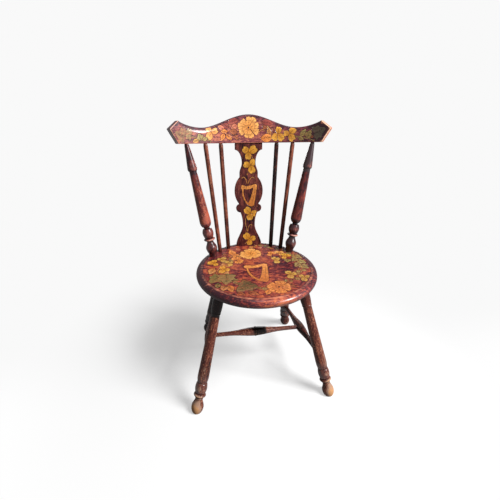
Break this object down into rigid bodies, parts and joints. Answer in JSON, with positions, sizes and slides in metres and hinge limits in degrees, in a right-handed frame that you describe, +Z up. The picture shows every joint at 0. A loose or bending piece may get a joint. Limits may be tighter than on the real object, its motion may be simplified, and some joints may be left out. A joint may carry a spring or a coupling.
{
  "type": "side chair",
  "caption": "Side chair with a round plank seat, splayed turned legs and stretchers, and a fan back of posts, spindles and fretted splat under a bent crest rail, with pokerwork ornament.",
  "frame": {"origin": "on the floor under the middle of the round seat", "axes": "+X to the right of someone facing the chair's front, +Y towards its back, +Z up"},
  "size_m": [0.528, 0.4453, 0.8756],
  "materials": {
    "seat_wood": "ox-blood stain with pokerwork under worn gloss varnish",
    "board_wood": "ox-blood stain with pokerwork under worn gloss varnish",
    "turned_wood": "dark red-brown stain under worn gloss varnish, bare wood at the feet and ring edges",
    "brad_steel": "dulled steel"
  },
  "bodies": {
    "root": {"seat": "seat_wood", "crest_rail": "board_wood", "splat": "board_wood", "leg_front_left": "turned_wood", "leg_front_right": "turned_wood", "leg_rear_left": "turned_wood", "leg_rear_right": "turned_wood", "side_stretcher_left": "turned_wood", "side_stretcher_right": "turned_wood", "cross_stretcher": "turned_wood", "back_post_left": "turned_wood", "back_post_right": "turned_wood", "outer_spindle_left": "turned_wood", "outer_spindle_right": "turned_wood", "inner_spindle_left": "turned_wood", "inner_spindle_right": "turned_wood", "crest_brad_left": "brad_steel", "crest_brad_right": "brad_steel"}
  },
  "joints": []
}
